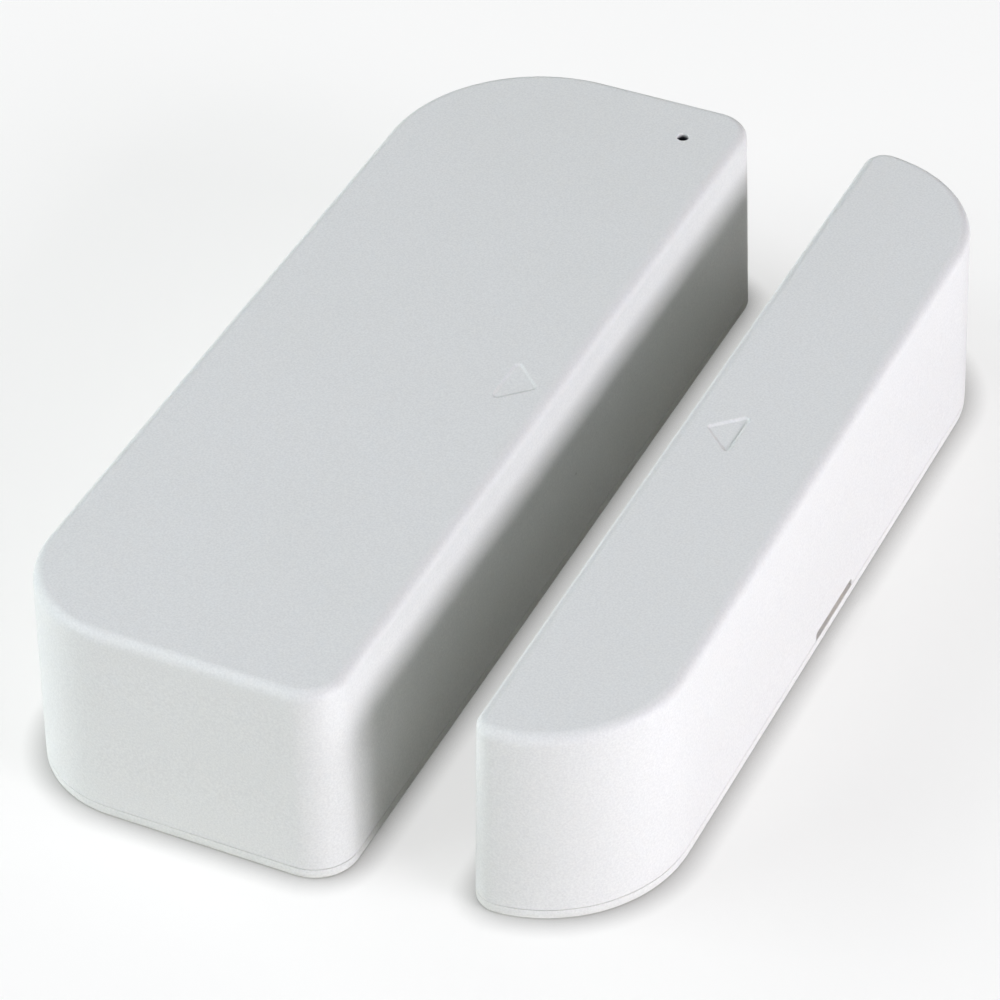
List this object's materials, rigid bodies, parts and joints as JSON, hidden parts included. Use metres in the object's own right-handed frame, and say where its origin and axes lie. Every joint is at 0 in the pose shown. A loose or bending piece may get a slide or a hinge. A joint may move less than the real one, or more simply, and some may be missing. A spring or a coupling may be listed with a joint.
{
  "type": "door contact sensor",
  "caption": "Surface-mount wireless door contact: a white transmitter box with rounded outer corners and the slim magnet unit beside it, with working covers, switches and reed.",
  "frame": {"origin": "centre of the transmitter's back face, on the mounting plane", "axes": "+X across, from the transmitter to the magnet unit; +Y along the boxes towards the end with the indicator pinhole; +Z out of the mounting plane"},
  "size_m": [0.06, 0.0965, 0.0212],
  "materials": {
    "white_plastic": "fine moulded texture, off-white",
    "base_plastic": "moulded, off-white",
    "foam_tape": "grey foam tape",
    "black_plastic": "moulded black",
    "cell_jacket": "printed sleeve without lettering",
    "nickel_steel": "nickel plated spring steel",
    "board_green": "solder mask",
    "zinc_steel": "zinc plated",
    "reed_glass": "clear greenish glass",
    "reed_metal": "plated nickel iron",
    "led_lens": "clear resin",
    "clear_plastic": "clear moulded acrylic",
    "chip_black": "epoxy",
    "shield_metal": "tin plated",
    "copper_wire": "enamelled copper",
    "capacitor_can": "drawn can",
    "button_plastic": "moulded",
    "ferrite": "sintered, ground faces",
    "dark_foam": "closed cell foam"
  },
  "bodies": {
    "transmitter": {"sensor_base": "base_plastic", "sensor_tape_near": "foam_tape", "sensor_tape_far": "foam_tape", "battery_holder": "black_plastic", "battery_left": "cell_jacket", "battery_right": "cell_jacket", "bridge_contact": "nickel_steel", "positive_contact": "nickel_steel", "negative_contact": "nickel_steel", "battery_spring_left": "nickel_steel", "battery_spring_right": "nickel_steel", "circuit_board": "board_green", "pcb_screws": "zinc_steel", "reed_glass": "reed_glass", "reed_lead_near": "reed_metal", "reed_lead_far": "reed_metal", "status_led": "led_lens", "microcontroller": "chip_black", "radio_shield": "shield_metal", "crystal": "shield_metal", "antenna_coil": "copper_wire", "capacitor": "capacitor_can", "chip_resistors": "chip_black", "tamper_switch_body": "black_plastic", "learn_button_body": "black_plastic"},
    "cover": {"sensor_cover": "white_plastic", "light_pipe": "clear_plastic"},
    "tamper": {"tamper_plunger": "chip_black"},
    "learn": {"learn_button_cap": "button_plastic"},
    "reed": {"reed_blade": "reed_metal"},
    "magnet_unit": {"magnet_base": "base_plastic", "magnet_tape": "foam_tape", "magnet_carrier": "base_plastic", "bar_magnet": "ferrite", "magnet_foam_pad": "dark_foam"},
    "magnet_lid": {"magnet_cover": "white_plastic"}
  },
  "joints": [
    {"name": "cover_lift", "type": "slide", "parent": "transmitter", "child": "cover", "axis": [0, 0, 1], "range_m": [0, 0.03]},
    {"name": "tamper_travel", "type": "slide", "parent": "transmitter", "child": "tamper", "axis": [0, 0, 1], "range_m": [0, 0.0005]},
    {"name": "learn_press", "type": "slide", "parent": "transmitter", "child": "learn", "axis": [0, 0, -1], "range_m": [0, 0.00025]},
    {"name": "reed_open", "type": "hinge", "parent": "transmitter", "child": "reed", "pos_m": [0.0121, 0.005, 0.00901], "axis": [-1, 0, 0], "range_deg": [0, 2]},
    {"name": "door_opening", "type": "slide", "parent": "transmitter", "child": "magnet_unit", "axis": [1, 0, 0], "range_m": [0, 0.05]},
    {"name": "magnet_cover_lift", "type": "slide", "parent": "magnet_unit", "child": "magnet_lid", "axis": [0, 0, 1], "range_m": [0, 0.03]}
  ],
  "couplings": [
    {"joint": "tamper_travel", "follows": "cover_lift", "ratio": 0.0166},
    {"joint": "reed_open", "follows": "door_opening", "rad_per_m": 0.69}
  ]
}
